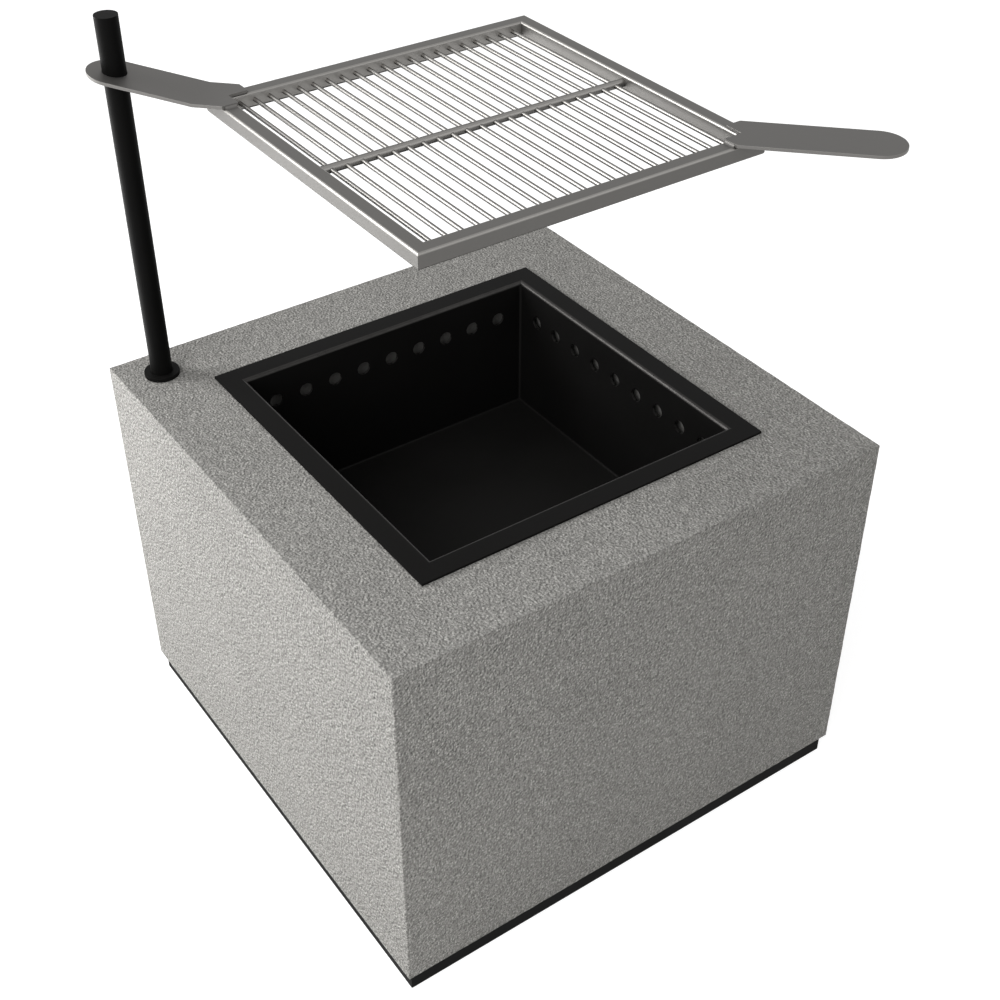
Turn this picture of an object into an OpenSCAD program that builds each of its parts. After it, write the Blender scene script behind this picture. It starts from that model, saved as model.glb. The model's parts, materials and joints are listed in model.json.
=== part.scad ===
// Park barbecue on a square concrete block: a black firebox is let into the block, and a
// stainless grate hangs over it on a post at one corner. The post turns in its socket, and
// the grate's arm slides on the post, so the grate swings aside and moves up and down.
// Origin: on the ground under the middle of the block, +Z up, the block's front towards -Y.

/* [Block] */
// Width and depth of the square concrete block
block_w = 880; // [840:10:1000]
// Height of the concrete above its plinth
block_h = 640; // [560:10:760]
// Thickness of the concrete slab that closes the pocket from below
slab_t = 120; // [100:5:160]
// Diameter of the drain through the slab
drain_d = 60; // [30:5:100]

/* [Plinth] */
// Height and width of the square plinth rails
plinth_h = 40; // [35:5:60]
// Setback of the plinth from the faces of the block
plinth_inset = 8; // [2:1:20]
// Wall thickness of the plinth rails
plinth_t = 3; // [2:0.5:4]
// Inside corner radius of the plinth rails
plinth_ri = 1; // [0.5:0.5:2]
// Distance of each plinth bolt from the end of its rail
bolt_margin = 182; // [120:2:240]
// Diameter of the plinth bolts
bolt_d = 12; // [8:1:14]
// Length of a plinth bolt under its head
bolt_l = 45; // [30:5:60]
// Length of the threaded sleeves cast into the slab
sleeve_l = 60; // [50:5:80]

/* [Firebox] */
// Distance of the firebox's inner walls from the faces of the block
rim_w = 166.5; // [155:0.5:190]
// Inner depth of the firebox below the top of its flange
tub_depth = 252; // [180:2:300]
// Thickness of the firebox sheet
sheet_t = 4; // [3:0.5:5]
// Outer radius of the fold between wall and flange
fold_r = 7; // [6:0.5:10]
// Width of the flange outside the inner walls
flange_w = 38.5; // [30:0.5:45]
// Air gap between the firebox and the pocket
tub_gap = 12.5; // [8:0.5:14]
// Number of air holes in each wall
hole_count = 9; // [5:2:11]
// Distance of the outermost air holes from the inner corners
hole_margin = 49.5; // [40:0.5:80]
// Diameter of the air holes
hole_d = 24; // [10:1:26]
// Depth of the air holes' centres below the top of the flange
hole_drop = 60; // [40:1:80]

/* [Post] */
// Diameter of the post
post_d = 35; // [30:1:40]
// Height of the post above the block
post_rise = 600; // [540:5:700]
// Distance of the post's axis from the two nearest faces of the block
post_margin = 65; // [55:1:75]
// Wall thickness of the post
post_t = 4; // [3:0.5:6]
// Depth of the socket in the block
socket_depth = 250; // [150:10:300]
// Wall thickness of the socket
socket_t = 5; // [3:0.5:6]
// Width of the square foot plate under the socket
foot_w = 90; // [70:5:100]
// Thickness of the foot plate
foot_t = 8; // [5:1:12]
// Diameter of the collar round the post
collar_d = 57; // [54:1:70]
// Thickness of the collar
collar_t = 7; // [4:0.5:10]

/* [Grate] */
// How far the frame reaches past the firebox's inner walls on each side
grate_lap = 7.5; // [4:0.5:12]
// Width and height of the frame's square tube
grate_tube = 24; // [20:1:28]
// Wall thickness of the frame's tube
tube_t = 2; // [1.5:0.5:3]
// Inside corner radius of the frame's tube
tube_ri = 2; // [1:0.5:3]
// Height of the frame's underside above the block
grate_rise = 464.5; // [300:0.5:480]
// Number of rods
rod_count = 21; // [15:2:23]
// Distance of the outermost rods from the frame's inner faces
rod_margin = 17; // [12:0.5:30]
// Diameter of the rods
rod_d = 6.4; // [5:0.2:8]
// Diameter of the cross bar that the rods run through
bar_d = 12.8; // [12:0.2:16]

/* [Arm and handle] */
// Thickness of the two plates
plate_t = 5; // [4:0.5:6]
// Width of the two plates
plate_w = 80; // [70:2:90]
// Length of the plates' legs along the frame, from its outer corner
leg_l = 55; // [45:1:60]
// Distance of the handle's tip from the frame's corner
handle_l = 190; // [140:5:190]
// Distance of the arm's fold from the frame's corner
fold_gap = 7; // [2:1:20]
// Slope of the arm beyond its fold, in degrees
arm_slope = 10; // [6:1:12]

/* [Fits] */
// Radial running clearance of the post in its socket, its collar and the arm
run_gap = 0.1; // [0.05:0.01:0.1]
// Gap between surfaces that move past or rest near each other
seat_gap = 0.3; // [0.2:0.1:0.5]

/* [Hidden] */
// Smoothness of round shapes
$fn = 64;
// How far a cut runs past the surface that it opens
over = 1;

// Heights above the ground
block_z = plinth_h;
top_z = block_z + block_h;
flange_z = top_z + sheet_t;
post_z = top_z + post_rise;
grate_z = top_z + grate_rise;
rod_z = grate_z + grate_tube / 2;
plate_z = grate_z + grate_tube;

// Block: the pocket holds the firebox with its air gap, and the flange covers its edge
tub_w = block_w - 2 * rim_w;
tub_out = tub_w + 2 * sheet_t;
flange_span = tub_w + 2 * flange_w;
pocket_w = tub_out + 2 * tub_gap;
pocket_z = block_z + slab_t;

// Plinth rails, their bolts and the sleeves that take the bolts
plinth_span = block_w - 2 * plinth_inset;
bolt_x = plinth_span / 2 - bolt_margin;
bolt_y = plinth_span / 2 - plinth_h / 2;
bolt_play = 0.5;
head_d = 1.85 * bolt_d;
head_h = 0.62 * bolt_d;
access_d = head_d + 2 * bolt_play + bolt_d / 4;
sleeve_d = 1.5 * bolt_d;
sleeve_foot_d = 2.2 * bolt_d;
sleeve_foot_t = 5;

// Spacing of a wall's air holes, and the place of its first one
hole_pitch = (tub_w - 2 * hole_margin) / (hole_count - 1);
hole_x = hole_margin - tub_w / 2;

// Spacer fins between the firebox and the pocket, midway between two air holes
fin_x = hole_pitch * (hole_count - 2) / 2;
fin_h = 50;

// Post and socket: the axis stands on the block's diagonal, at the left back corner
post_c = block_w / 2 - post_margin;
socket_z = top_z - socket_depth;
socket_d = post_d + 2 * run_gap + 2 * socket_t;
cap_t = 4;

// Grate: the rods and the bar end on the inner faces of the frame
grate_w = tub_w + 2 * grate_lap;
grate_in = grate_w - 2 * grate_tube;
rod_pitch = (grate_in - 2 * rod_margin) / (rod_count - 1);
rod_x = rod_margin - grate_in / 2;

// Arm and handle, measured outwards from the block's middle along its diagonal
diag = sqrt(2);
corner_u = diag * grate_w / 2;
notch_u = diag * grate_in / 2;
leg_end = grate_w / 2 - leg_l;
leg_u = (grate_in / 2 + leg_end) / diag;
leg_v = (grate_in / 2 - leg_end) / diag;
fold_u = corner_u + fold_gap;
post_u = diag * post_c;

concrete = "#8b8a86";
black = "#1c1c1c";
galvanised = "#8e9194";
stainless = "#b4b3af";

// Turns a piece that is drawn at the front to one of the four sides
module side(name)
    rotate([0, 0, name == "front" ? 0 : name == "right" ? 90 : name == "back" ? 180 : 270])
        children();

// Rectangle with rounded corners
module rounded(w, h, r) {
    square([w - 2 * r, h], center = true);
    square([w, h - 2 * r], center = true);
    for (x = [-1, 1], y = [-1, 1])
        translate([x * (w / 2 - r), y * (h / 2 - r)])
            circle(r);
}

// Plan of one side of a mitred square frame, between its outer and inner widths
module mitre(outer, inner, h)
    linear_extrude(h)
        polygon([
            [-outer / 2, -outer / 2], [outer / 2, -outer / 2],
            [inner / 2, -inner / 2], [-inner / 2, -inner / 2]
        ]);

// Front side of a square frame of square tube that stands on z = 0, with mitred ends
module mitred_tube(span, w, t, ri)
    intersection() {
        translate([-span / 2, (w - span) / 2, w / 2])
            rotate([90, 0, 90])
                linear_extrude(span)
                    difference() {
                        rounded(w, w, ri + t);
                        rounded(w - 2 * t, w - 2 * t, ri);
                    }
        mitre(span, span - 2 * w, w);
    }

// Places a copy of a piece at each of the eight plinth bolts
module at_bolts()
    for (name = ["front", "right", "back", "left"], x = [-bolt_x, bolt_x])
        side(name)
            translate([x, -bolt_y, 0])
                children();

// Shape of a cast-in sleeve with its wider end, standing on z = 0
module sleeve_body() {
    cylinder(d = sleeve_d, h = sleeve_l);
    translate([0, 0, sleeve_l - sleeve_foot_t])
        cylinder(d = sleeve_foot_d, h = sleeve_foot_t);
}

// Shape of the socket and its foot plate without the bore, at the post's axis
module socket_body() {
    translate([0, 0, socket_z])
        cylinder(d = socket_d, h = socket_depth);
    translate([-foot_w / 2, -foot_w / 2, socket_z - foot_t])
        cube([foot_w, foot_w, foot_t]);
}

module at_post()
    translate([-post_c, post_c, 0])
        children();

module concrete_block()
    color(concrete)
        difference() {
            translate([-block_w / 2, -block_w / 2, block_z])
                cube([block_w, block_w, block_h]);
            translate([-pocket_w / 2, -pocket_w / 2, pocket_z])
                cube([pocket_w, pocket_w, top_z - pocket_z + over]);
            translate([0, 0, block_z - over])
                cylinder(d = drain_d, h = slab_t + 2 * over);
            at_post()
                socket_body();
            at_bolts()
                translate([0, 0, block_z])
                    sleeve_body();
        }

// A rail is drilled above for its two bolts, and below for the bolts' heads
module plinth_rail(name)
    color(black)
        side(name)
            difference() {
                mitred_tube(plinth_span, plinth_h, plinth_t, plinth_ri);
                for (x = [-bolt_x, bolt_x])
                    translate([x, -bolt_y, 0]) {
                        cylinder(d = bolt_d + 2 * bolt_play, h = plinth_h + over);
                        translate([0, 0, -over])
                            cylinder(d = access_d, h = plinth_h / 2 + over);
                    }
            }

module plinth_sleeves()
    color(galvanised)
        at_bolts()
            translate([0, 0, block_z])
                difference() {
                    sleeve_body();
                    translate([0, 0, -over])
                        cylinder(d = bolt_d + 2 * run_gap, h = sleeve_l - sleeve_foot_t + over);
                }

module plinth_bolts()
    color(galvanised)
        at_bolts()
            translate([0, 0, plinth_h - plinth_t]) {
                cylinder(d = bolt_d, h = bolt_l);
                translate([0, 0, -head_h])
                    cylinder(d = head_d, h = head_h, $fn = 6);
            }

module post_socket()
    color(black)
        at_post()
            difference() {
                socket_body();
                translate([0, 0, socket_z])
                    cylinder(d = post_d + 2 * run_gap, h = socket_depth + over);
            }

module post_collar()
    color(black)
        at_post()
            translate([0, 0, top_z])
                difference() {
                    cylinder(d = collar_d, h = collar_t);
                    translate([0, 0, -over])
                        cylinder(d = post_d + 2 * run_gap, h = collar_t + 2 * over);
                }

module post_tube()
    color(black)
        at_post()
            translate([0, 0, socket_z + seat_gap])
                difference() {
                    cylinder(d = post_d, h = post_z - cap_t - socket_z - seat_gap);
                    translate([0, 0, -over])
                        cylinder(d = post_d - 2 * post_t, h = post_z - socket_z + over);
                }

module post_cap()
    color(black)
        at_post()
            translate([0, 0, post_z - cap_t])
                cylinder(d = post_d, h = cap_t);

// Section of a firebox wall: x runs outwards from the inner face, y up from the flange's top
module wall_section() {
    translate([0, -tub_depth - sheet_t])
        square([sheet_t, tub_depth + sheet_t - fold_r]);
    intersection() {
        translate([fold_r, -fold_r])
            difference() {
                circle(fold_r);
                circle(fold_r - sheet_t);
            }
        translate([0, -fold_r])
            square(fold_r);
    }
    translate([fold_r, -sheet_t])
        square([flange_w - fold_r, sheet_t]);
}

// One folded wall with its part of the flange, mitred at both ends and drilled for air
module firebox_wall(name)
    color(black)
        side(name)
            difference() {
                intersection() {
                    translate([flange_span / 2, -tub_w / 2, flange_z])
                        rotate([90, 0, -90])
                            linear_extrude(flange_span)
                                wall_section();
                    translate([0, 0, flange_z - tub_depth - sheet_t])
                        mitre(flange_span, tub_w, tub_depth + sheet_t);
                }
                for (i = [0 : hole_count - 1])
                    translate([hole_x + i * hole_pitch, -tub_w / 2 + over, flange_z - hole_drop])
                        rotate([90, 0, 0])
                            cylinder(d = hole_d, h = sheet_t + 2 * over);
            }

module firebox_floor()
    color(black)
        translate([-tub_w / 2, -tub_w / 2, flange_z - tub_depth - sheet_t])
            cube([tub_w, tub_w, sheet_t]);

// Upright fins on the outside of the walls, below their folds, that keep the firebox in the
// middle of its pocket
module firebox_spacer_fins()
    color(black)
        for (name = ["front", "right", "back", "left"], x = [-fin_x, fin_x])
            side(name)
                translate([x - sheet_t / 2, -pocket_w / 2 + seat_gap, flange_z - fold_r - fin_h])
                    cube([sheet_t, tub_gap - seat_gap, fin_h]);

module grate_tube_side(name)
    color(stainless)
        side(name)
            translate([0, 0, grate_z])
                mitred_tube(grate_w, grate_tube, tube_t, tube_ri);

// Places a copy of a piece at each rod, lying along Y from the front of the opening
module at_rods()
    for (i = [0 : rod_count - 1])
        translate([rod_x + i * rod_pitch, -grate_in / 2, rod_z])
            rotate([-90, 0, 0])
                children();

module grate_cross_bar()
    color(stainless)
        difference() {
            translate([-grate_in / 2, 0, rod_z])
                rotate([0, 90, 0])
                    cylinder(d = bar_d, h = grate_in);
            at_rods()
                cylinder(d = rod_d + 2 * run_gap, h = grate_in);
        }

module grate_rods()
    color(stainless)
        at_rods()
            cylinder(d = rod_d, h = grate_in);

// Flat plate that lies on the frame's corner with two legs, along +X, with a round end
module plate_body(tip_u, h) {
    bend_u = leg_u + plate_w / 2 - leg_v;
    linear_extrude(h)
        polygon([
            [notch_u, 0], [leg_u, leg_v], [bend_u, plate_w / 2], [tip_u, plate_w / 2],
            [tip_u, -plate_w / 2], [bend_u, -plate_w / 2], [leg_u, -leg_v]
        ]);
    translate([tip_u, 0, 0])
        cylinder(d = plate_w, h = h);
}

// Side view of the folded arm: level on the frame, then rising towards the post
module arm_profile() {
    end_u = post_u + plate_w;
    rise = (end_u - fold_u) * tan(arm_slope);
    inside_u = fold_u - plate_t * tan(arm_slope / 2);
    polygon([
        [0, 0], [fold_u, 0], [end_u, rise],
        [end_u, rise + plate_t / cos(arm_slope)], [inside_u, plate_t], [0, plate_t]
    ]);
}

module grate_arm()
    color(stainless)
        translate([0, 0, plate_z])
            rotate([0, 0, 135])
                difference() {
                    intersection() {
                        translate([0, plate_w, 0])
                            rotate([90, 0, 0])
                                linear_extrude(2 * plate_w)
                                    arm_profile();
                        plate_body(post_u, plate_w);
                    }
                    translate([post_u, 0, 0])
                        cylinder(d = post_d + 2 * run_gap, h = plate_w);
                }

module grate_handle()
    color(stainless)
        translate([0, 0, plate_z])
            rotate([0, 0, -45])
                plate_body(corner_u + handle_l - plate_w / 2, plate_t);

concrete_block();
plinth_rail("front");  // plinth_rail_front
plinth_rail("back");  // plinth_rail_back
plinth_rail("left");  // plinth_rail_left
plinth_rail("right");  // plinth_rail_right
plinth_sleeves();
plinth_bolts();
post_socket();
post_collar();
post_tube();
post_cap();
firebox_wall("front");  // firebox_wall_front
firebox_wall("back");  // firebox_wall_back
firebox_wall("left");  // firebox_wall_left
firebox_wall("right");  // firebox_wall_right
firebox_floor();
firebox_spacer_fins();
grate_tube_side("front");  // grate_tube_front
grate_tube_side("back");  // grate_tube_back
grate_tube_side("left");  // grate_tube_left
grate_tube_side("right");  // grate_tube_right
grate_cross_bar();
grate_rods();
grate_arm();
grate_handle();
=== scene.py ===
"""Looks of the park barbecue pedestal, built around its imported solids. Metres, the solids' own frame."""
import json
import math

import bmesh
import bpy
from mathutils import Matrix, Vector
from mathutils.noise import noise as noise_at


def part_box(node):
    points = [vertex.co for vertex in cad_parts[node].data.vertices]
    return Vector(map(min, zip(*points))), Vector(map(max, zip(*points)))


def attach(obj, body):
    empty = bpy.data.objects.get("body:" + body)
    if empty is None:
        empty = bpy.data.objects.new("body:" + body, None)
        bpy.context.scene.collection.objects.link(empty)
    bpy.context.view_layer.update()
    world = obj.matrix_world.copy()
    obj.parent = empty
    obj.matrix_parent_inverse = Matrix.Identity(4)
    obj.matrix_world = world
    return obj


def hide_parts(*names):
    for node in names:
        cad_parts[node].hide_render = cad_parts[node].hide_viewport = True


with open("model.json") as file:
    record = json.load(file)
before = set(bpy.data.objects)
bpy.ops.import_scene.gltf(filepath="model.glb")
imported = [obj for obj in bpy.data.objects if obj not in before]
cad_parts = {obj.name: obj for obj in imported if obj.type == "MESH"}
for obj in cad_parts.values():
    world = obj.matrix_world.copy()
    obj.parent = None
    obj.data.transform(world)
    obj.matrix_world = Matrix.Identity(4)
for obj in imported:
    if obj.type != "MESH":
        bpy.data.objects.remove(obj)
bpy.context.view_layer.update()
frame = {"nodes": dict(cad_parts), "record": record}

BODIES = frame["record"]["behaviour"]["bodies"]

# The photographed view
CAMERA_AT = (-1.1276, -1.6581, 2.0632)
CAMERA_TURN = (52.674, -0.037, -35.046)
LENS = 55.145
SENSOR = 36.0
SHIFT_Y = -0.0218
VIEW_START = 0.05
VIEW_END = 100.0

# Soft boxes: place, aim, width and height, and radiance
LAMPS = {
    "key": {"at": (-3.3, 3.1, 3.2), "towards": (0.0, 0.0, 0.9), "size": (2.2, 3.2), "level": 8.1},
    "side": {"at": (-3.8, -1.9, 3.0), "towards": (0.0, 0.0, 0.5), "size": (3.2, 3.5), "level": 4.1},
    "fill": {"at": (2.2, -2.9, 3.4), "towards": (0.0, 0.0, 0.8), "size": (2.0, 2.0), "level": 0.8},
    "bounce": {"at": (-1.25, 1.4, 0.6), "towards": (-0.65, 0.8, 1.45), "size": (1.8, 1.6), "level": 2.9},
}

# The world's level on the object, and the white that the camera and gloss see
FILL = 0.42
BACKDROP = 1.0

# The floor: its width, its drop below the object, its colour in the object's light, and as seen directly
FLOOR_SIZE = 60.0
FLOOR_DROP = 0.0005
FLOOR_LIT = (0.8, 0.8, 0.79)
FLOOR_SEEN = (0.5, 0.5, 0.5)
FLOOR_GLOW = 0.79

# Linear colours
CONCRETE = (0.299, 0.293, 0.278)
# The pocket's concrete, about half as light as the block's outside
POCKET_TONE = (0.150, 0.147, 0.140)
COAT = (0.0034, 0.0033, 0.0032)
# The plinth's coat, darker than the post's black coat: painted shade under the block
PLINTH_SHADED_COAT = (0.0027, 0.0026, 0.0025)
FIREBOX_COAT = (0.0056, 0.0054, 0.0052)
ASH_COAT = (0.0096, 0.0093, 0.0089)
# The firebox welds' coat, about twice as light as the firebox's, so the seams show as thin painted highlights
WELD_HIGHLIGHT_COAT = (0.0110, 0.0107, 0.0102)
STEEL = (0.135, 0.131, 0.125)
PLATE = (0.128, 0.124, 0.119)
# The rods' steel at half the tubes' colour, so the rods' sides read dark: painted shade
ROD_PAINTED_SHADE = (0.0675, 0.0655, 0.0625)
ZINC = (0.30, 0.31, 0.32)
WHITE = (1.0, 1.0, 1.0)

# How shiny each coat is
COAT_GLOSS = 0.04
PLINTH_GLOSS = 0.032
FIREBOX_GLOSS = 0.045
ASH_GLOSS = 0.06
WELD_GLOSS = 0.07

# How much lighter each steel's upper edges are painted, as a painted highlight
TUBE_PAINTED_HIGHLIGHT = 0.8
SIDE_TUBE_PAINTED_HIGHLIGHT = 1.3
ROD_PAINTED_HIGHLIGHT = 3.4
PLATE_PAINTED_HIGHLIGHT = 0.32
WELD_PAINTED_HIGHLIGHT = 0.15

# How much smoother they are
TUBE_SMOOTH = 0.2
ROD_SMOOTH = 0.25
PLATE_SMOOTH = 0.08
WELD_SMOOTH = 0.04

# How much lighter the inner faces of the back and right tubes, and a plate's upright faces, are painted:
# painted light
BACK_INNER_PAINTED_LIGHT = 1.3
RIGHT_INNER_PAINTED_LIGHT = 0.25
PLATE_UPRIGHT_PAINTED_LIGHT = 0.35

# A rising or falling mask, and the part of a noise's range that it mostly keeps to
RISING = (0.0, 1.0)
FALLING = (1.0, 0.0)
MIDDLE = (0.3, 0.7)

# Where masks start and end, in parts of the surface's own normal
ROUNDED = (0.94, 0.998)
NOT_LEVEL = (0.05, 0.2)
NOT_UPRIGHT = (0.9, 0.97)
UPWARD = (-0.1, 0.2)
UPRIGHT_FACE = (0.2, 0.4)
INNER_FACE = (-0.999, -0.96)
TOP_FACE = (0.5, 0.9)
LEFT_FACE = (-0.9, -0.5)

# Concrete's roughness and shine
STONE_ROUGH = 0.9
STONE_GLOSS = 0.2

# The grit: its scale and fineness, the step between a grain's two sides, taken towards the light, the range
# of their difference and the painted light and shade that it gives, its depth
GRIT = 260.0
GRIT_FINE = 0.55
GRIT_LIGHT_STEP = (-0.0008, 0.0007, 0.0010)
GRIT_SHADING_RANGE = (-0.4, 0.4)
GRIT_PAINTED_SHADING = (-0.88, 0.88)
GRIT_DEPTH = 0.003

# The proud grains of sand: their scale, their reach from tip to foot, their range and shade, their depth
SAND = 265.0
SAND_REACH = (0.12, 0.58)
SAND_RANGE = (0.0, 0.8)
SAND_SHADE = (-0.18, 0.66)
SAND_DEPTH = 0.0006

# How strongly the grains and their painted shading show on the top and on the left, as the light falls there,
# and the concrete's faint clouds
TOP_GRIT_SHADING = (1.0, 0.82)
LEFT_GRIT_SHADING = (1.15, 1.0)
STONE_CLOUD = 5.0
STONE_SHADE = (0.925, 0.975)

# Clouds and pores in the pocket
POCKET_CLOUD = 14.0
POCKET_CLOUD_FINE = 0.6
POCKET_CLOUD_SHADE = (0.85, 1.15)
PORES = 160.0
PORE_DEPTH = 0.0008

# Powder coat: its orange peel and its clouds
PEEL = 700.0
PEEL_DEPTH = 0.00006
COAT_CLOUD = 9.0
COAT_SHADE = (0.92, 1.08)
COAT_ROUGH = (0.5, 0.58)

# Folds' wear: its patches, how strong it is in them, how much lighter the folds are, as wear and as a painted
# highlight, and how much smoother and barer the coat is there
WORN = 60.0
WORN_FINE = 0.6
WORN_RANGE = (0.8, 1.0)
WEAR_AND_HIGHLIGHT_LIGHTER = 7.0
WORN_SMOOTHER = 0.34
WORN_BARE = 0.5

# Satin steel: its brushed grain and its clouds
BRUSH = 900.0
BRUSH_FINE = 0.6
BRUSH_DEPTH = 0.00002
BRUSH_SHADE = (0.96, 1.04)
BRUSH_ROUGH = (0.52, 0.58)
STEEL_CLOUD = 11.0
STEEL_CLOUDY = (-0.02, 0.02)

# The brushed grain's stretch along an axis, or none, and the turn that brings the plates' length to X
ALONG_X = (0.02, 1.0, 1.0)
ALONG_Y = (1.0, 0.02, 1.0)
EVEN = (1.0, 1.0, 1.0)
PLATE_TURN = math.radians(45.0)

# Zinc's cloudy grain
ZINC_CLOUD = 60.0
ZINC_SHADE = (0.88, 1.1)
ZINC_ROUGH = (0.36, 0.5)

# Softened edges: their width, the steps across them, and the fold from which an edge is one
ARRIS = 0.0012
PLATE_EDGE = 0.0005
COLLAR_EDGE = 0.0006
STEPS = 3
SHARP = math.radians(30.0)

# Faces that are flat within this are made whole, points nearer than this are one, and shading breaks here
FLAT = math.radians(0.3)
SAME_POINT = 1e-6
CREASE = math.radians(50.0)

# The block's arrises: longer than this, on its sides within this, softened as far in as this
LONG = 0.5
ON_SIDE = 1e-5
ARRIS_REACH = 1.2 * ARRIS

# They wander by this much, over about this length, in cuts this far apart
WANDER = 0.0003
WANDER_LENGTH = 0.016
CUT = 0.008

# The pocket ends inside this share of the block's width
POCKET = 0.75

# The welded corners inside the firebox, up to the fold of its walls
FILLET = 0.003
FILLET_STEPS = 5
FOLD = 0.007

# The frame tube's width, the ends of the plates' notches, and the length and width of the welds there
TUBE = 0.024
NOTCH = 0.226
WELD = 0.018
WELD_WIDTH = 0.0048

UP = (0.0, 0.0, 1.0)
BOTH_SIDES = (-1.0, 1.0)


def set_value(socket, value):
    """Sets a socket, and gives a colour its alpha."""
    socket.default_value = (*value, 1.0) if socket.type == "RGBA" else value


def node(tree, kind, values=None, **props):
    """A shader node with its properties and its input values set."""
    n = tree.nodes.new(kind)
    for k, v in props.items():
        setattr(n, k, v)
    for k, v in (values or {}).items():
        set_value(n.inputs[k], v)
    return n


def material(name, **values):
    """A material, its node tree and its Principled shader, with constant values on the shader's sockets."""
    m = bpy.data.materials.new(name)
    m.use_nodes = True
    tree = m.node_tree
    shader = tree.nodes["Principled BSDF"]
    for k, v in values.items():
        set_value(shader.inputs[k.replace("_", " ")], v)
    return m, tree, shader


def coordinates(tree, scale=EVEN, turn=0.0, offset=(0.0, 0.0, 0.0)):
    """Object coordinates in metres, turned about Z, then stretched and moved."""
    at = node(tree, "ShaderNodeTexCoord").outputs["Object"]
    for values in ({"Rotation": (0.0, 0.0, turn)}, {"Scale": scale, "Location": offset}):
        mapping = node(tree, "ShaderNodeMapping", values)
        tree.links.new(at, mapping.inputs["Vector"])
        at = mapping.outputs["Vector"]
    return at


def noise(tree, vector, scale, detail=2.0, rough=0.5):
    n = node(tree, "ShaderNodeTexNoise", {"Scale": scale, "Detail": detail, "Roughness": rough})
    tree.links.new(vector, n.inputs["Vector"])
    return n.outputs["Fac"]


def clouds(tree, scale):
    """Soft patches that fade into one another."""
    return noise(tree, coordinates(tree), scale, detail=3.0)


def remap(tree, value, source, target):
    """A value brought from one range to another, and held at its ends."""
    ends = {"From Min": source[0], "From Max": source[1], "To Min": target[0], "To Max": target[1]}
    n = node(tree, "ShaderNodeMapRange", ends)
    tree.links.new(value, n.inputs["Value"])
    return n.outputs["Result"]


def scaled(tree, mask, amount):
    """A mask of 0 to 1 times an amount."""
    return remap(tree, mask, RISING, (0.0, amount))


def combined(tree, operation, *values):
    """One or two values put through one operation."""
    n = node(tree, "ShaderNodeMath", operation=operation)
    for i, value in enumerate(values):
        tree.links.new(value, n.inputs[i])
    return n.outputs["Value"]


def sum_of(tree, first, *others):
    total = first
    for value in others:
        total = combined(tree, "ADD", total, value)
    return total


def difference(tree, a, b):
    return combined(tree, "SUBTRACT", a, b)


def product(tree, a, b):
    return combined(tree, "MULTIPLY", a, b)


def tint(tree, colour, value):
    """The colour, darker or lighter by the value."""
    n = node(tree, "ShaderNodeVectorMath", operation="SCALE")
    n.inputs[0].default_value = colour
    tree.links.new(value, n.inputs["Scale"])
    return n.outputs["Vector"]


def bump(tree, shader, height, distance, after=None):
    """Relief on a shader, on top of the relief that it follows."""
    n = node(tree, "ShaderNodeBump", {"Distance": distance})
    tree.links.new(height, n.inputs["Height"])
    if after is not None:
        tree.links.new(after, n.inputs["Normal"])
    tree.links.new(n.outputs["Normal"], shader.inputs["Normal"])
    return n.outputs["Normal"]


def normal_part(tree, axis):
    """The surface's own normal along one of the object's axes."""
    at = node(tree, "ShaderNodeTexCoord")
    parts = node(tree, "ShaderNodeSeparateXYZ")
    tree.links.new(at.outputs["Normal"], parts.inputs[0])
    return parts.outputs[axis]


def normal_size(tree, axis):
    """How far the surface's own normal leans along an axis, either way."""
    return combined(tree, "ABSOLUTE", normal_part(tree, axis))


def rounded_edges(tree):
    """1 on rounded edges, whose normals lie between the object's axes, and 0 on its flat faces."""
    largest = combined(tree, "MAXIMUM", normal_size(tree, "X"), normal_size(tree, "Y"))
    largest = combined(tree, "MAXIMUM", largest, normal_size(tree, "Z"))
    return remap(tree, largest, ROUNDED, FALLING)


def plate_edges(tree):
    """1 on a plate's rounded edges, whose normals are neither level nor upright, else 0."""
    height = normal_size(tree, "Z")
    return product(tree, remap(tree, height, NOT_LEVEL, RISING), remap(tree, height, NOT_UPRIGHT, FALLING))


def upward(tree):
    """1 where the surface faces up, 0 where it faces down."""
    return remap(tree, normal_part(tree, "Z"), UPWARD, RISING)


def upright_faces(tree):
    """1 on a plate's upright faces, else 0."""
    return remap(tree, normal_size(tree, "Z"), UPRIGHT_FACE, FALLING)


def inner_face(tree, axis):
    """1 on the face that looks against an axis, else 0."""
    return remap(tree, normal_part(tree, axis), INNER_FACE, FALLING)


def grains(tree, vector, scale):
    """Grains of sand that stand proud: 1 on the tip of the proudest, 0 between them."""
    n = node(tree, "ShaderNodeTexVoronoi", {"Scale": scale}, feature="F1")
    tree.links.new(vector, n.inputs["Vector"])
    parts = node(tree, "ShaderNodeSeparateXYZ")
    tree.links.new(n.outputs["Color"], parts.inputs[0])
    return product(tree, remap(tree, n.outputs["Distance"], SAND_REACH, FALLING), parts.outputs["X"])


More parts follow.
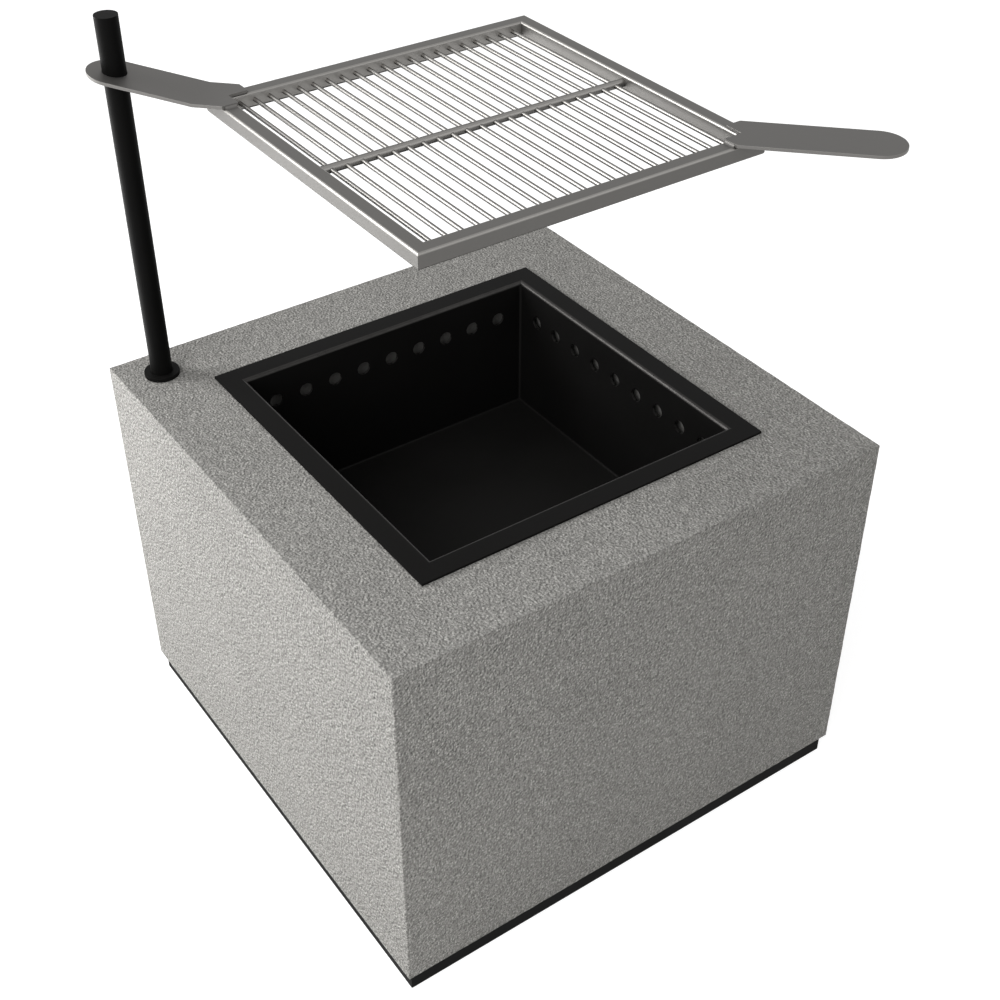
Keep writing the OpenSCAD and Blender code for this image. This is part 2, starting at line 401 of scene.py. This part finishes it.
def concrete():
    """Sandblasted concrete: a fine grit painted with light and shade, lighter on the side of each grain
    towards the light and darker on the other, proud lighter grains of sand, and faint clouds. The grains and
    their painted shading show less on the top and most on the left, as the light falls there."""
    m, tree, shader = material("sandblasted_concrete", Roughness=STONE_ROUGH, Specular_IOR_Level=STONE_GLOSS)
    grit = noise(tree, coordinates(tree), GRIT, rough=GRIT_FINE)
    beside = noise(tree, coordinates(tree, offset=GRIT_LIGHT_STEP), GRIT, rough=GRIT_FINE)
    sand = grains(tree, coordinates(tree), SAND)
    # Painted light and shade: each grain lighter on its side towards the light, darker on the other
    painted_grain_shading = remap(tree, difference(tree, grit, beside), GRIT_SHADING_RANGE, GRIT_PAINTED_SHADING)
    grain_tone_and_shading = sum_of(tree, remap(tree, sand, SAND_RANGE, SAND_SHADE), painted_grain_shading)
    # Painted shading by face: weaker on the top, stronger on the left, as the light falls
    grit_shading_by_light = product(tree, remap(tree, normal_part(tree, "Z"), TOP_FACE, TOP_GRIT_SHADING),
                    remap(tree, normal_part(tree, "X"), LEFT_FACE, LEFT_GRIT_SHADING))
    cloudy = remap(tree, clouds(tree, STONE_CLOUD), MIDDLE, STONE_SHADE)
    shade = sum_of(tree, product(tree, grain_tone_and_shading, grit_shading_by_light), cloudy)
    tree.links.new(tint(tree, CONCRETE, shade), shader.inputs["Base Color"])
    first = bump(tree, shader, grit, GRIT_DEPTH)
    bump(tree, shader, sand, SAND_DEPTH, after=first)
    return m


def pocket_concrete():
    """The pocket's concrete, smooth from its mould and darker than the block's outside."""
    m, tree, shader = material("pocket_concrete", Roughness=STONE_ROUGH, Specular_IOR_Level=STONE_GLOSS)
    pocket_patches = noise(tree, coordinates(tree), POCKET_CLOUD, detail=4.0, rough=POCKET_CLOUD_FINE)
    tree.links.new(tint(tree, POCKET_TONE, remap(tree, pocket_patches, MIDDLE, POCKET_CLOUD_SHADE)), shader.inputs["Base Color"])
    bump(tree, shader, noise(tree, coordinates(tree), PORES), PORE_DEPTH)
    return m


def coat(name, colour, gloss, folded=False):
    """Powder coat: a faint orange peel; on folded edges thinner, more polished and partly bare from wear, and
    lighter there as wear and as a painted highlight.
    """
    m, tree, shader = material(name, Specular_IOR_Level=gloss)
    cloud = clouds(tree, COAT_CLOUD)
    shade = remap(tree, cloud, MIDDLE, COAT_SHADE)
    rough = remap(tree, cloud, MIDDLE, COAT_ROUGH)
    if folded:
        patches = noise(tree, coordinates(tree), WORN, detail=3.0, rough=WORN_FINE)
        wear_and_highlight = product(tree, rounded_edges(tree), remap(tree, patches, MIDDLE, WORN_RANGE))
        # The folds' lightening is partly wear and partly a painted highlight
        shade = sum_of(tree, shade, scaled(tree, wear_and_highlight, WEAR_AND_HIGHLIGHT_LIGHTER))
        rough = sum_of(tree, rough, scaled(tree, wear_and_highlight, -WORN_SMOOTHER))
        tree.links.new(scaled(tree, wear_and_highlight, WORN_BARE), shader.inputs["Metallic"])
    tree.links.new(tint(tree, colour, shade), shader.inputs["Base Color"])
    tree.links.new(rough, shader.inputs["Roughness"])
    bump(tree, shader, noise(tree, coordinates(tree), PEEL, detail=1.0), PEEL_DEPTH)
    return m


def brushed(tree, shader, at, colour, edges, painted_highlight, smooth, lighter):
    """A brushed grain on a shader, smoother on its edges, which are a mask, and lighter there as a painted
    highlight, with more painted light added where lighter says."""
    brush = noise(tree, at, BRUSH, rough=BRUSH_FINE)
    cloudy = remap(tree, clouds(tree, STEEL_CLOUD), MIDDLE, STEEL_CLOUDY)
    grain = remap(tree, brush, MIDDLE, BRUSH_SHADE)
    shade = sum_of(tree, grain, cloudy, scaled(tree, edges, painted_highlight), *lighter)
    grain = remap(tree, brush, MIDDLE, BRUSH_ROUGH)
    rough = sum_of(tree, grain, cloudy, scaled(tree, edges, -smooth))
    tree.links.new(tint(tree, colour, shade), shader.inputs["Base Color"])
    tree.links.new(rough, shader.inputs["Roughness"])
    bump(tree, shader, brush, BRUSH_DEPTH)


def stainless(name, stretch, painted_highlight=TUBE_PAINTED_HIGHLIGHT, smooth=TUBE_SMOOTH, colour=STEEL, inner=None):
    """Satin stainless steel with a grain along one axis, smoother on its upper edges and lighter there as a
    painted highlight. inner names the axis against which a tube's inner face looks, and how much lighter that
    face is painted, as painted light."""
    m, tree, shader = material(name, Metallic=1.0)
    lighter = []
    if inner:
        axis, amount = inner
        # A tube's inner face is lightened: painted light
        lighter.append(scaled(tree, inner_face(tree, axis), amount))
    # The upper rounded edges are lightened: a painted highlight
    edges = product(tree, rounded_edges(tree), upward(tree))
    brushed(tree, shader, coordinates(tree, stretch), colour, edges, painted_highlight, smooth, lighter)
    return m


def plate_steel():
    """The plates' steel, with its grain along their length, and with painted light on their upright faces
    too.
    """
    m, tree, shader = material("steel_plates", Metallic=1.0)
    # The plates' upright faces are lightened: painted light
    lighter = [scaled(tree, upright_faces(tree), PLATE_UPRIGHT_PAINTED_LIGHT)]
    # The plates' upper rounded edges are lightened: a painted highlight
    edges = product(tree, plate_edges(tree), upward(tree))
    at = coordinates(tree, ALONG_X, PLATE_TURN)
    brushed(tree, shader, at, PLATE, edges, PLATE_PAINTED_HIGHLIGHT, PLATE_SMOOTH, lighter)
    return m


def zinc():
    """Zinc plating with a cloudy grain."""
    m, tree, shader = material("zinc", Metallic=1.0)
    cloud = clouds(tree, ZINC_CLOUD)
    tree.links.new(tint(tree, ZINC, remap(tree, cloud, MIDDLE, ZINC_SHADE)), shader.inputs["Base Color"])
    tree.links.new(remap(tree, cloud, MIDDLE, ZINC_ROUGH), shader.inputs["Roughness"])
    return m


def dress(names, m):
    """Gives solids their finish, in every material slot."""
    for name in names:
        mesh = frame["nodes"][name].data
        for i in range(len(mesh.materials)):
            mesh.materials[i] = m


def seen_directly(tree):
    """1 for rays of the camera, of gloss and of transmission, else 0."""
    path = node(tree, "ShaderNodeLightPath")
    rays = [path.outputs[k] for k in ("Is Camera Ray", "Is Glossy Ray", "Is Transmission Ray")]
    least = node(tree, "ShaderNodeMath", {1: 1.0}, operation="MINIMUM")
    tree.links.new(sum_of(tree, *rays), least.inputs[0])
    return least.outputs["Value"]


def make_world():
    """A plain fill of light, with the backdrop's white for the camera and for gloss."""
    world = bpy.data.worlds.new("studio")
    bpy.context.scene.world = world
    world.use_nodes = True
    tree = world.node_tree
    back = tree.nodes["Background"]
    set_value(back.inputs["Color"], WHITE)
    tree.links.new(remap(tree, seen_directly(tree), RISING, (FILL, BACKDROP)), back.inputs["Strength"])


def make_floor():
    """A plain pale floor that keeps the object's shadow."""
    bpy.ops.mesh.primitive_plane_add(size=FLOOR_SIZE, location=(0.0, 0.0, -FLOOR_DROP))
    floor = bpy.context.object
    floor.name = "floor"
    m = bpy.data.materials.new("floor")
    m.use_nodes = True
    tree = m.node_tree
    tree.nodes.clear()
    out = node(tree, "ShaderNodeOutputMaterial")
    lit = node(tree, "ShaderNodeBsdfDiffuse", {"Color": FLOOR_LIT})
    seen = node(tree, "ShaderNodeBsdfDiffuse", {"Color": FLOOR_SEEN})
    glow = node(tree, "ShaderNodeEmission", {"Color": WHITE, "Strength": FLOOR_GLOW})
    both = node(tree, "ShaderNodeAddShader")
    tree.links.new(seen.outputs[0], both.inputs[0])
    tree.links.new(glow.outputs[0], both.inputs[1])
    mix = node(tree, "ShaderNodeMixShader")
    tree.links.new(seen_directly(tree), mix.inputs[0])
    tree.links.new(lit.outputs[0], mix.inputs[1])
    tree.links.new(both.outputs[0], mix.inputs[2])
    tree.links.new(mix.outputs[0], out.inputs["Surface"])
    floor.data.materials.append(m)


def make_lamp(name, at, towards, size, level):
    """A soft box that the camera doesn't see."""
    data = bpy.data.lights.new(name, "AREA")
    data.shape = "RECTANGLE"
    data.size, data.size_y = size
    data.energy = level * math.pi * size[0] * size[1]
    lamp = bpy.data.objects.new(name, data)
    bpy.context.collection.objects.link(lamp)
    lamp.location = at
    lamp.rotation_mode = "QUATERNION"
    lamp.rotation_quaternion = (Vector(towards) - Vector(at)).to_track_quat("-Z", "Y")
    lamp.visible_camera = False


def make_lights():
    for name, values in LAMPS.items():
        make_lamp(name, **values)


def make_camera():
    """The camera of the photographed view."""
    data = bpy.data.cameras.new("camera")
    data.sensor_fit = "HORIZONTAL"
    data.sensor_width = SENSOR
    data.lens = LENS
    data.shift_y = SHIFT_Y
    data.clip_start = VIEW_START
    data.clip_end = VIEW_END
    camera = bpy.data.objects.new("camera", data)
    bpy.context.collection.objects.link(camera)
    camera.location = CAMERA_AT
    camera.rotation_euler = [math.radians(a) for a in CAMERA_TURN]
    bpy.context.scene.camera = camera


def body_of(name):
    """The body that a node rides on."""
    return next(body for body, names in BODIES.items() if name in names)


def base_nodes(start):
    """The base's nodes whose names start alike."""
    return [name for name in BODIES["base"] if name.startswith(start)]


def copy_of(name, above=-1.0):
    """A solid's mesh, with its flat faces made whole where they reach above a height."""
    bm = bmesh.new()
    bm.from_mesh(frame["nodes"][name].data)
    bmesh.ops.remove_doubles(bm, verts=bm.verts, dist=SAME_POINT)
    edges = [e for e in bm.edges if max(v.co.z for v in e.verts) > above]
    verts = [v for v in bm.verts if v.co.z > above]
    bmesh.ops.dissolve_limit(bm, angle_limit=FLAT, verts=verts, edges=edges)
    return bm


def piece_from(bm, name, body, materials, even=True):
    """A new piece from a mesh, with even shading over its small steps unless its faces say otherwise."""
    mesh = bpy.data.meshes.new(name)
    bm.normal_update()
    bm.to_mesh(mesh)
    bm.free()
    for m in materials:
        mesh.materials.append(m)
    piece = bpy.data.objects.new(name, mesh)
    bpy.context.collection.objects.link(piece)
    if even:
        mesh.shade_smooth()
        mesh.set_sharp_from_angle(angle=CREASE)
        piece.modifiers.new("even_normals", "WEIGHTED_NORMAL").keep_sharp = True
    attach(piece, body)
    return piece


def soften(bm, edges, width):
    """Rounds edges off in small steps."""
    bmesh.ops.bevel(bm, geom=edges, offset=width, offset_type="OFFSET", segments=STEPS, profile=0.5,
                    affect="EDGES", clamp_overlap=True)


def sharp_edges(bm):
    return [e for e in bm.edges if e.is_manifold and e.calc_face_angle(0.0) > SHARP]


def dressed(name, width, m):
    """A solid with softened edges, in its place."""
    bm = copy_of(name)
    soften(bm, sharp_edges(bm), width)
    piece = piece_from(bm, name + "_dressed", body_of(name), [m])
    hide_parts(name)


def outer_sides(point, low, high, reach):
    """How many of a box's sides a point lies within reach of."""
    return sum(min(point[i] - low[i], high[i] - point[i]) < reach for i in range(3))


def long_edges(bm, low, high, reach):
    """The long edges that lie within reach of two sides of a box."""
    return [e for e in bm.edges
            if e.calc_length() > LONG and all(outer_sides(v.co, low, high, reach) > 1 for v in e.verts)]


def wander(bm, low, high):
    """Moves the points of a box's softened arrises inwards, each by its own small depth."""
    for v in bm.verts:
        if outer_sides(v.co, low, high, ARRIS_REACH) > 1:
            depth = WANDER * max(0.0, 0.5 + noise_at(v.co / WANDER_LENGTH))
            for i in range(3):
                if ON_SIDE < v.co[i] - low[i] < ARRIS_REACH:
                    v.co[i] += depth
                elif ON_SIDE < high[i] - v.co[i] < ARRIS_REACH:
                    v.co[i] -= depth


def dressed_block(outside, inside):
    """The block with softened, slightly uneven arrises, and its darker pocket. The flat faces stay flat."""
    name = "concrete_block"
    low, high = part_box(name)
    bm = copy_of(name, low[2] + ARRIS)
    soften(bm, long_edges(bm, low, high, ON_SIDE), ARRIS)
    cuts = int((high[0] - low[0]) / CUT)
    bmesh.ops.subdivide_edges(bm, edges=long_edges(bm, low, high, ARRIS_REACH), cuts=cuts, use_grid_fill=True)
    wander(bm, low, high)
    bm.normal_update()
    for f in bm.faces:
        c = f.calc_center_median()
        f.smooth = all(outer_sides(v.co, low, high, 2 * ARRIS_REACH) > 1 for v in f.verts)
        amid = all(POCKET * low[i] < c[i] < POCKET * high[i] for i in range(2))
        f.material_index = 1 if amid and c[2] < high[2] - ARRIS else 0
    piece = piece_from(bm, name + "_dressed", body_of(name), [outside, inside], False)
    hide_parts(name)


def fillet(bm, start, end, first, second, width=FILLET):
    """A concave weld fillet from start to end, between two faces that leave their corner along first and
    second."""
    curve = [Vector((0.0, 0.0, 0.0))]
    for i in range(FILLET_STEPS + 1):
        turn = math.pi / 2 * i / FILLET_STEPS
        curve.append(width * ((1 - math.sin(turn)) * Vector(first) + (1 - math.cos(turn)) * Vector(second)))
    near, far = [[bm.verts.new(Vector(at) + p) for p in curve] for at in (start, end)]
    for i in range(len(curve)):
        j = (i + 1) % len(curve)
        bm.faces.new([near[i], near[j], far[j], far[i]])
    bm.faces.new(near[::-1])
    bm.faces.new(far)


def firebox_fillets(m):
    """Weld fillets along the firebox's floor and up its corners."""
    side, _, floor_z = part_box("firebox_floor")[1]
    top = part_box("firebox_wall_right")[1][2] - FOLD
    foot = floor_z + FILLET / 2
    end = side - FILLET / 2
    bm = bmesh.new()
    for s in BOTH_SIDES:
        fillet(bm, (s * side, -side, floor_z), (s * side, side, floor_z), (-s, 0.0, 0.0), UP)
        fillet(bm, (-end, s * side, floor_z), (end, s * side, floor_z), (0.0, -s, 0.0), UP)
        for t in BOTH_SIDES:
            fillet(bm, (s * side, t * side, foot), (s * side, t * side, top), (-s, 0.0, 0.0), (0.0, -t, 0.0))
    bmesh.ops.recalc_face_normals(bm, faces=bm.faces)
    piece_from(bm, "firebox_fillets", "base", [m])


def plate_welds(m):
    """Short fillets where the ends of the arm's and the handle's notches cross the frame tubes' flat tops."""
    outer, _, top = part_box("grate_tube_right")[1]
    near = outer - (TUBE + WELD) / 2
    far = outer - (TUBE - WELD) / 2
    bm = bmesh.new()
    for s in BOTH_SIDES:
        fillet(bm, (s * near, -s * NOTCH, top), (s * far, -s * NOTCH, top), (0.0, s, 0.0), UP, WELD_WIDTH)
        fillet(bm, (s * NOTCH, -s * near, top), (s * NOTCH, -s * far, top), (-s, 0.0, 0.0), UP, WELD_WIDTH)
    bmesh.ops.recalc_face_normals(bm, faces=bm.faces)
    piece_from(bm, "plate_welds", "grill", [m])


def make_block():
    """The block, its plinth and the plinth's hidden fixings."""
    dressed_block(concrete(), pocket_concrete())
    dress(base_nodes("plinth_rail"), coat("plinth_coat", PLINTH_SHADED_COAT, PLINTH_GLOSS))
    dress(["plinth_sleeves", "plinth_bolts"], zinc())


def make_post():
    """The post with its cap, in its socket and collar."""
    dress(["post_socket", "post_tube", "post_cap"], coat("black_coat", COAT, COAT_GLOSS))
    dressed("post_collar", COLLAR_EDGE, coat("collar_coat", FIREBOX_COAT, COAT_GLOSS))


def make_firebox():
    """The folded firebox, its ashy floor and its welds."""
    dress(base_nodes("firebox"), coat("firebox_coat", FIREBOX_COAT, FIREBOX_GLOSS, folded=True))
    dress(["firebox_floor"], coat("ashy_coat", ASH_COAT, ASH_GLOSS))
    firebox_fillets(coat("weld_coat", WELD_HIGHLIGHT_COAT, WELD_GLOSS))


def make_grate():
    """The grate's frame, bar and rods, and its two plates with their welds."""
    dress(["grate_tube_front", "grate_cross_bar"], stainless("steel_along_x", ALONG_X))
    dress(["grate_tube_left"], stainless("steel_along_y", ALONG_Y, SIDE_TUBE_PAINTED_HIGHLIGHT))
    dress(["grate_tube_back"], stainless("steel_back", ALONG_X, inner=("Y", BACK_INNER_PAINTED_LIGHT)))
    right = stainless("steel_right", ALONG_Y, SIDE_TUBE_PAINTED_HIGHLIGHT, inner=("X", RIGHT_INNER_PAINTED_LIGHT))
    dress(["grate_tube_right"], right)
    dress(["grate_rods"], stainless("steel_rods", ALONG_Y, ROD_PAINTED_HIGHLIGHT, ROD_SMOOTH, ROD_PAINTED_SHADE))
    plate_welds(stainless("steel_welds", EVEN, WELD_PAINTED_HIGHLIGHT, WELD_SMOOTH, PLATE))
    plates = plate_steel()
    dressed("grate_arm", PLATE_EDGE, plates)
    dressed("grate_handle", PLATE_EDGE, plates)


make_world()
make_floor()
make_lights()
make_camera()
make_block()
make_post()
make_firebox()
make_grate()
bpy.context.scene.view_settings.view_transform = "Standard"
